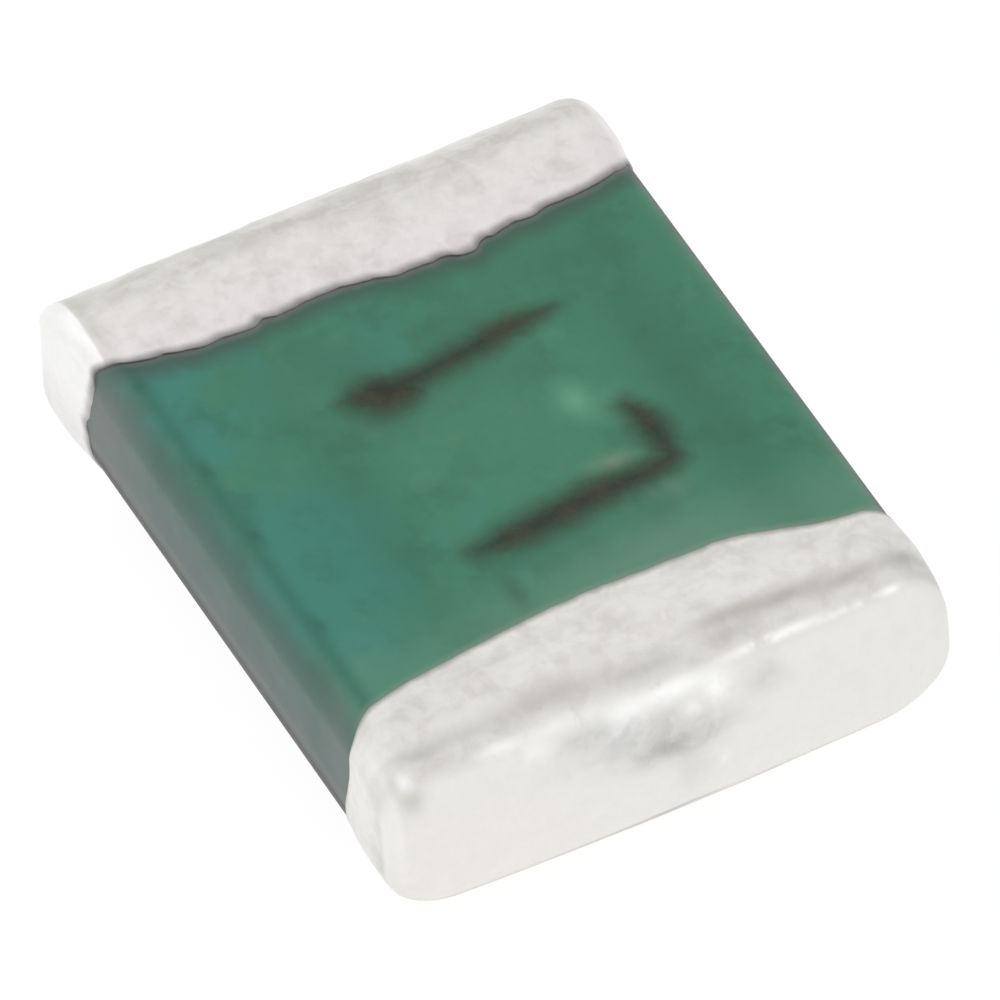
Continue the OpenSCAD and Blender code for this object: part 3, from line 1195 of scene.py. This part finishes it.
@dataclass
class DippedEnd:
    """One end of the chip: fired silver, nickel and tin over the stack, one inside the other."""

    end: End
    stack: Stack
    form: EndForm
    rim: Rim
    lumps_seed: int
    lumps_depth: float
    lip: float = 0.3
    lip_width: float = 0.012
    slope_width: float = 0.2
    wall_shares: tuple[float, ...] = (0.0, 0.4286, 0.7143, 1.0)
    end_shares: tuple[float, ...] = (0.0, 0.75, 0.875, 1.0)
    rim_steps: tuple[float, ...] = (0.02, 0.02, 0.01, 0.0)
    fine_steps: tuple[int, int] = (44, 36)
    plain_steps: tuple[int, int] = (16, 10)
    plain_every: int = 3
    lump_size: float = 0.28
    fine_lump_size: float = 0.09
    least_depth: float = 0.1
    ridge_turn: float = 0.6
    ridge_width: float = 0.3
    ridge_heights: tuple[float, float] = (0.35, 0.6)

    def build(self) -> None:
        """Builds the end's three layers."""
        nickel = Plate("nickel_plate", srgb(196, 188, 172), srgb(168, 160, 146), rough=0.35,
                       grains_per_mm=24.0)
        silver = Plate("fired_silver", srgb(232, 231, 226), srgb(200, 198, 190), rough=0.6,
                       grains_per_mm=34.0)
        finishes = {Layer.SILVER: (silver.build(), "fired_silver"),
                    Layer.NICKEL: (nickel.build(), "nickel_plate"),
                    Layer.TIN: (DippedTin(self.end).build(), "tin_plate")}
        for level, (layer, (material, slot)) in enumerate(finishes.items(), start=1):
            name = f"{self.end.word}_{layer.value}"
            self.shell(f"{name}_skin", level, fine=layer is Layer.TIN).make(material, slot, name)

    def shell(self, name: str, level: int, fine: bool) -> Skin:
        """One layer as a closed skin between its own surface and the one below.

        Args:
            name: the piece's name.
            level: 1 for the silver, 2 for the nickel, 3 for the tin.
            fine: whether its outside carries all of the relief.

        Returns:
            The closed skin.
        """
        skin = Skin(name)
        every, steps = (1, self.fine_steps) if fine else (self.plain_every, self.plain_steps)
        flip = self.end is End.FAR
        rings, rows, marks = self.surface(level, level, steps, every)
        outer = skin.add_points(rings, **marks[0])
        outer_rows = skin.add_points(rows, **marks[1])
        below, below_rows, below_marks = self.surface(level - 1, level, self.plain_steps, every)
        first = 1 if level == 1 else 0
        inner = skin.add_points(below[first:], **{k: v[first:] for k, v in below_marks[0].items()})
        inner = np.concatenate([outer[:1], inner])
        inner_rows = skin.add_points(below_rows, **below_marks[1])
        self._close(skin, outer, outer_rows, flip)
        self._close(skin, inner, inner_rows, not flip)
        return skin

    @staticmethod
    def _close(skin: Skin, rings: Array, rows: Array, flip: bool) -> None:
        """Adds the faces of one surface, from the rim over the rounding and across the end face.

        Args:
            skin: the skin that takes them.
            rings: indices of the rings.
            rows: indices of the end face's rows, from its upper to its lower edge.
            flip: whether the faces look the other way.
        """
        skin.add_grid(rings, closed=True, flip=flip)
        edge = rings[-1]
        half, side = len(edge) // 2, (len(rows) + 1) // 2
        upper = edge[None, side + 1:half - side]
        lower = edge[None, len(edge) - side - 1:half + side:-1]
        right = np.concatenate([edge[side::-1], edge[:-side - 1:-1]])
        left = edge[half - side:half + side + 1]
        middle = np.concatenate([upper, rows, lower])
        skin.add_grid(np.concatenate([right[:, None], middle, left[:, None]], axis=1), flip=flip)

    def surface(self, level: int, owner: int, steps: tuple[int, int],
                every: int) -> tuple[Array, Array, tuple[dict[str, Array], dict[str, Array]]]:
        """One of the nested surfaces, from the stack's own to the tin's outside.

        Args:
            level: 0 for the stack's surface, up to 3 for the tin's outside.
            owner: level of the layer that the surface belongs to, whose rim a bare stack takes.
            steps: steps of the wall and of the rounding.
            every: which points of the section are taken.

        Returns:
            The rings, the end face's rows, and the numbers that both carry.
        """
        across = self.stack.section().walk()
        rim_step = self.rim_steps[level] if level else self.rim_steps[owner]
        rim = self.rim.along(across, self.stack.high, self.stack.low) + rim_step
        base = self.stack.form(self.end).surface(rim, *steps, every)
        outer = self.form.surface(rim, *steps, every)
        wall, turn = steps
        turns = np.concatenate([np.zeros(wall), np.linspace(0, 1, turn + 1)])[:, None]
        share = self.wall_shares[level] + (self.end_shares[level] - self.wall_shares[level]) * turns
        from_rim = outer[0][..., 0] - rim[::every], outer[1][..., 0] - rim.mean()
        reach = np.clip(from_rim[0] / self.lip_width, 0, 1)
        thick = self.lip * np.sqrt(1 - (1 - reach) ** 2)
        thick = thick + (1 - self.lip) * rise(from_rim[0], 0, self.slope_width)
        swell = share * thick, self.end_shares[level]
        turned = np.broadcast_to(turns, reach.shape), np.ones(outer[1].shape[:-1])
        results, marks = [], []
        for part in range(2):
            full = swell[part] * (1 - self.lumps(outer[part], turned[part]))
            point = base[part] + (outer[part] - base[part]) * full[..., None]
            point[..., 0] *= self.end.value
            results.append(point)
            marks.append({"from_rim": from_rim[part], "turn": turned[part]})
        return results[0], results[1], (marks[0], marks[1])

    def lumps(self, points: Array, turned: Array) -> Array:
        """How much of the metal's thickness its lumps take away.

        Args:
            points: places on the outside.
            turned: 0 on the walls, 1 on the end face.

        Returns:
            The share of the thickness, from 0 to about a half.
        """
        coarse = Grain(self.lumps_seed).at(points, self.lump_size)
        fine = Grain(self.lumps_seed + 1).at(points, self.fine_lump_size)
        upper = rise(points[..., 2], *self.ridge_heights)
        ridge = np.exp(-((turned - self.ridge_turn) / self.ridge_width) ** 2) * upper
        depth = self.least_depth + self.lumps_depth * ridge
        return np.clip(0.5 + 0.5 * coarse + 0.25 * fine * ridge, 0, 1) * depth


@dataclass(frozen=True)
class Stroke:
    """An ink stroke: lines of points with their half widths, as one thin film."""

    name: str
    lines: tuple[tuple[tuple[float, float, float], ...], ...]
    feather: float = 0.14
    step: float = 0.008
    film: float = 0.009
    margin: float = 0.22
    hair: float = 0.0004
    least: float = 0.02

    def field(self, x: Array, y: Array) -> Array:
        """How thick the ink lies, from 0 outside to 1 in its middle.

        Args:
            x: places along the chip.
            y: places across it.

        Returns:
            The ink.
        """
        best = np.full(x.shape, -1e9)
        for line in self.lines:
            for start, end in zip(line[:-1], line[1:]):
                run = np.array(end[:2]) - np.array(start[:2])
                share = ((x - start[0]) * run[0] + (y - start[1]) * run[1]) / float(run @ run)
                share = np.clip(share, 0, 1)
                away = np.hypot(x - start[0] - run[0] * share, y - start[1] - run[1] * share)
                best = np.maximum(best, start[2] + (end[2] - start[2]) * share - away)
        return rise(best, -self.feather, self.feather)

    def skin(self, stack: Stack) -> Skin:
        """The film on the coat: a lens-shaped sheet that thins out to nothing.

        Args:
            stack: the stack that carries it.

        Returns:
            The closed skin.
        """
        knots = np.array([knot[:2] for line in self.lines for knot in line])
        low, high = knots.min(0) - self.margin, knots.max(0) + self.margin
        x, y = np.meshgrid(*(np.arange(low[i], high[i], self.step) for i in (0, 1)), indexing="ij")
        ink = self.field(x, y)
        kept = corners(ink > 0).any(0)
        beside = corners(np.pad(kept, 1))
        used, edge = beside.any(0), ~beside.all(0)
        thick = np.where(edge, 0, np.maximum(ink, self.least) * self.film + self.hair)
        bed = np.stack([x, y, np.full(x.shape, stack.high)], axis=-1)
        bed[..., 2] -= stack.sag(bed) + self.hair
        top = bed + np.stack([0 * x, 0 * x, thick], axis=-1)
        skin = Skin(f"{self.name}_ink")
        below = np.full(x.shape, -1)
        below[used] = skin.add_points(bed[used], ink=ink[used])
        above, free = below.copy(), used & ~edge
        above[free] = skin.add_points(top[free], ink=ink[free])
        skin.add_grid(above, flip=True, kept=kept)
        skin.add_grid(below, kept=kept)
        return skin


@dataclass
class Strokes:
    """The two brown ink strokes on the top coat."""

    stack: Stack
    finish: MarkingInk = MarkingInk()
    strokes: tuple[Stroke, ...] = (
        Stroke("footed_stroke", (
            ((-0.49, 0.55, 0.01), (-0.486, 0.48, 0.036), (-0.476, 0.37, 0.06), (-0.46, 0.25, 0.072),
             (-0.438, 0.13, 0.066), (-0.427, 0.03, 0.061), (-0.41, -0.08, 0.062), (-0.4, -0.2, 0.08)),
            ((-0.43, -0.42, 0.022), (-0.413, -0.35, 0.074), (-0.397, -0.275, 0.113), (-0.375, -0.205, 0.096),
             (-0.36, -0.15, 0.06)))),
        Stroke("hooked_stroke", (
            ((0.545, -0.33, 0.036), (0.545, -0.205, 0.071), (0.538, -0.07, 0.079), (0.523, 0.08, 0.082),
             (0.508, 0.22, 0.083), (0.505, 0.34, 0.074), (0.503, 0.44, 0.064), (0.488, 0.54, 0.061),
             (0.47, 0.578, 0.056)),
            ((0.47, 0.578, 0.056), (0.4, 0.58, 0.062), (0.31, 0.58, 0.073), (0.24, 0.576, 0.07),
             (0.18, 0.563, 0.054), (0.135, 0.545, 0.035)))),
    )

    def build(self) -> None:
        """Builds both strokes."""
        material = self.finish.build()
        for stroke in self.strokes:
            stroke.skin(self.stack).make(material, "ink", stroke.name)


@dataclass
class Inside:
    """The solids inside the chip, which stay as packed and get their own finish."""

    mica: CleavedMica = CleavedMica()
    film: Plate = Plate("silver_film", srgb(214, 212, 204), srgb(176, 172, 160), rough=0.4,
                        grains_per_mm=30.0)

    def dress(self, nodes: dict[str, bpy.types.Object]) -> None:
        """Gives each solid that still shows its material.

        Args:
            nodes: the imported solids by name.
        """
        mica, film = self.mica.build(), self.film.build()
        for name, solid in nodes.items():
            if not solid.hide_render:
                finish = film if name.startswith("electrode") else mica
                solid.material_slots[0].material = finish
                LOG.info("%s: kept as packed, with material %s", name, finish.name)


@dataclass
class Studio:
    """Table, lamps, daylight and camera."""

    turn_degrees: float = 65.29025
    lift_degrees: float = 47.03579
    roll_degrees: float = -3.55382
    distance: float = 86.42255
    pixels_per_mm: float = 251.0551
    middle_pixel: tuple[float, float] = (496.6167, 572.4768)
    picture_pixels: float = 1000.0
    sensor_mm: float = 36.0
    daylight: float = 0.83
    board_glow: float = 1.03
    board_glow_share: float = 0.92

    def build(self) -> None:
        """Builds the table, the light and the camera."""
        self.table()
        self.lamp("key_softbox", (0.72, 0.27, 0.635), metres=0.5, side=0.4, share=0.11)
        self.lamp("top_softbox", (-0.3, -0.4, 0.86), metres=0.6, side=0.4, share=0.15)
        self.sky()
        self.camera()

    def table(self, half: float = 400.0, bevel: float = 4.0) -> None:
        """A plain white board under the chip, with its edges sloping down.

        Args:
            half: half of the board's side.
            bevel: fall of its edge.
        """
        ring = np.array([[-1.0, -1.0], [1.0, -1.0], [1.0, 1.0], [-1.0, 1.0]])
        flat = np.column_stack([ring * half, np.zeros(4)])
        edge = np.column_stack([ring * (half + bevel), np.full(4, -bevel)])
        sides = [[i + 4, (i + 1) % 4 + 4, (i + 1) % 4, i] for i in range(4)]
        mesh = bpy.data.meshes.new("table")
        mesh.from_pydata((np.concatenate([flat, edge]) * MM).tolist(), [], [[0, 1, 2, 3], *sides])
        mesh.materials.append(self.board_finish())
        board = placed("table", mesh)
        LOG.info("table: %d faces", len(mesh.polygons))

    def board_finish(self) -> bpy.types.Material:
        """White card that looks plain white and still takes the chip's shadow.

        Returns:
            The material.
        """
        graph = Graph("white_card")
        grain = graph.noise(graph.places(), 3.0, 3.0, 0.6)
        pale = graph.mix(srgb(250, 250, 250), (srgb(244, 244, 244), grain))
        card = graph.node("ShaderNodeBsdfDiffuse", {}, {"Color": pale}, "BSDF")
        white = {"Color": WHITE, "Strength": self.board_glow}
        glow = graph.node("ShaderNodeEmission", {}, white, "Emission")
        rays = "Is Camera Ray", "Is Glossy Ray", "Is Transmission Ray"
        camera_ray, glossy_ray, clear_ray = graph.outputs("ShaderNodeLightPath", {}, *rays)
        seen = (camera_ray + glossy_ray + clear_ray).step(0.0, 1.0) * self.board_glow_share
        return graph.close(graph.node("ShaderNodeMixShader", {},
                                      {"Fac": seen, "Shader": card, "Shader_001": glow}, "Shader"))

    @staticmethod
    def lamp(name: str, towards: tuple[float, float, float], metres: float, side: float,
             share: float) -> None:
        """A square softbox that adds a share of the light of white under it.

        Args:
            name: the lamp's name.
            towards: direction from the chip to the lamp.
            metres: its distance.
            side: its side in metres.
            share: light on a surface that faces it, where 1 shows white as white.
        """
        light = bpy.data.lights.new(name, "AREA")
        light.shape = "SQUARE"
        light.size = side
        light.energy = math.pi ** 2 * metres ** 2 * share
        lamp = placed(name, light)
        direction = Vector(towards).normalized()
        lamp.location = direction * metres
        lamp.rotation_euler = direction.to_track_quat("Z", "Y").to_euler()
        lamp.visible_camera = False

    def sky(self) -> None:
        """Even daylight that shows as white behind the table."""
        graph = Graph("daylight", world=True)
        camera_ray, = graph.outputs("ShaderNodeLightPath", {}, "Is Camera Ray")
        light = graph.node("ShaderNodeBackground", {}, {"Color": WHITE, "Strength": self.daylight})
        plain = graph.node("ShaderNodeBackground", {}, {"Color": WHITE})
        sockets = {"Fac": camera_ray, "Shader": light, "Shader_001": plain}
        bpy.context.scene.world = graph.close(graph.node("ShaderNodeMixShader", {}, sockets))

    def camera(self) -> None:
        """The camera at the photograph's viewing angle."""
        degrees = self.turn_degrees, self.lift_degrees, self.roll_degrees
        turn, lift, roll = (math.radians(angle) for angle in degrees)
        back = Vector((math.sin(turn) * math.cos(lift), -math.cos(turn) * math.cos(lift), math.sin(lift)))
        level = Vector((math.cos(turn), math.sin(turn), 0.0))
        upright = back.cross(level)
        right = level * math.cos(roll) + upright * math.sin(roll)
        up = upright * math.cos(roll) - level * math.sin(roll)
        lens = bpy.data.cameras.new("camera")
        lens.sensor_width = self.sensor_mm
        lens.lens = self.sensor_mm * self.pixels_per_mm * self.distance / self.picture_pixels
        lens.shift_x = 0.5 - self.middle_pixel[0] / self.picture_pixels
        lens.shift_y = self.middle_pixel[1] / self.picture_pixels - 0.5
        lens.clip_start, lens.clip_end = 0.01, 10.0
        camera = placed("camera", lens)
        camera.matrix_world = Matrix.Translation(back * self.distance * MM) @ Matrix(
            (right, up, back)).transposed().to_4x4()
        bpy.context.scene.camera = camera
        bpy.context.scene.view_settings.view_transform = "Standard"


NEAR_RIM = Rim(
    over_top=((-1.8, 1.1), (-1.66, 1.11), (-1.56, 1.138), (-1.38, 1.172), (-1.25, 1.156), (-1.17, 1.122),
              (-1.068, 1.081), (-0.919, 1.044), (-0.731, 1.019), (-0.546, 0.996), (-0.36, 0.976),
              (-0.179, 0.964), (0.0, 0.961), (0.198, 0.967), (0.409, 0.968), (0.583, 0.978), (0.745, 1.029),
              (0.934, 1.085), (1.184, 1.114), (1.4, 1.13), (1.8, 1.15)),
    under=((-1.2, 1.1), (-0.9, 1.06), (0.0, 1.02), (0.9, 1.07), (1.2, 1.1)),
    ragged=0.004, nicked=0.0025, seed=3)
FAR_RIM = Rim(
    over_top=((-1.8, 1.15), (-1.64, 1.163), (-1.535, 1.14), (-1.41, 1.098), (-1.303, 1.088), (-1.203, 1.095),
              (-1.044, 1.04), (-0.888, 0.996), (-0.725, 0.975), (-0.549, 0.967), (-0.309, 1.002),
              (-0.138, 0.989), (0.094, 0.946), (0.33, 0.929), (0.455, 0.928), (0.6, 0.962), (0.722, 0.98),
              (0.9, 0.985), (0.999, 1.003), (1.164, 1.045), (1.267, 1.09), (1.5, 1.12), (1.8, 1.13)),
    under=((-1.2, 1.14), (-0.9, 1.08), (0.0, 1.03), (0.9, 1.07), (1.2, 1.1)),
    ragged=0.007, nicked=0.014, seed=8, bites=((0.38, 0.05, -0.012), (0.47, 0.03, 0.012)))
NEAR_SECTION = Section(left=-1.25, right=1.25, low=0.0, high=0.85, left_r=0.17, right_r=0.24, foot_r=0.34)
FAR_SECTION = replace(NEAR_SECTION, left_r=0.11, right_r=0.2)
NEAR_FORM = EndForm(NEAR_SECTION, reach=1.6, round_top=0.3, round_foot=0.136, round_left=0.057,
                    round_right=0.06, crown_y=0.042, crown_z=0.055)
FAR_FORM = EndForm(FAR_SECTION, reach=1.6, round_top=0.25, round_foot=0.17, round_left=0.12, round_right=0.1)


def write_sizes() -> None:
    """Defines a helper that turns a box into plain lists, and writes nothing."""
    def plain(box: Sequence[Sequence[float]]) -> list[list[float]]:
        """A box as plain lists."""
        return [[float(v) for v in corner] for corner in box]


def main() -> None:
    """Builds the capacitor's pieces, then the studio."""
    logging.basicConfig(level=logging.INFO, format="%(name)s: %(message)s", stream=sys.stdout)
    stack = Stack.packed()
    CoatedStack(stack, NEAR_RIM, FAR_RIM).build()
    DippedEnd(End.NEAR, stack, NEAR_FORM, NEAR_RIM, lumps_seed=21, lumps_depth=0.15).build()
    DippedEnd(End.FAR, stack, FAR_FORM, FAR_RIM, lumps_seed=31, lumps_depth=0.08).build()
    Strokes(stack).build()
    Inside().dress(frame["nodes"])
    Studio().build()
    write_sizes()


if __name__ == "__main__":
    main()
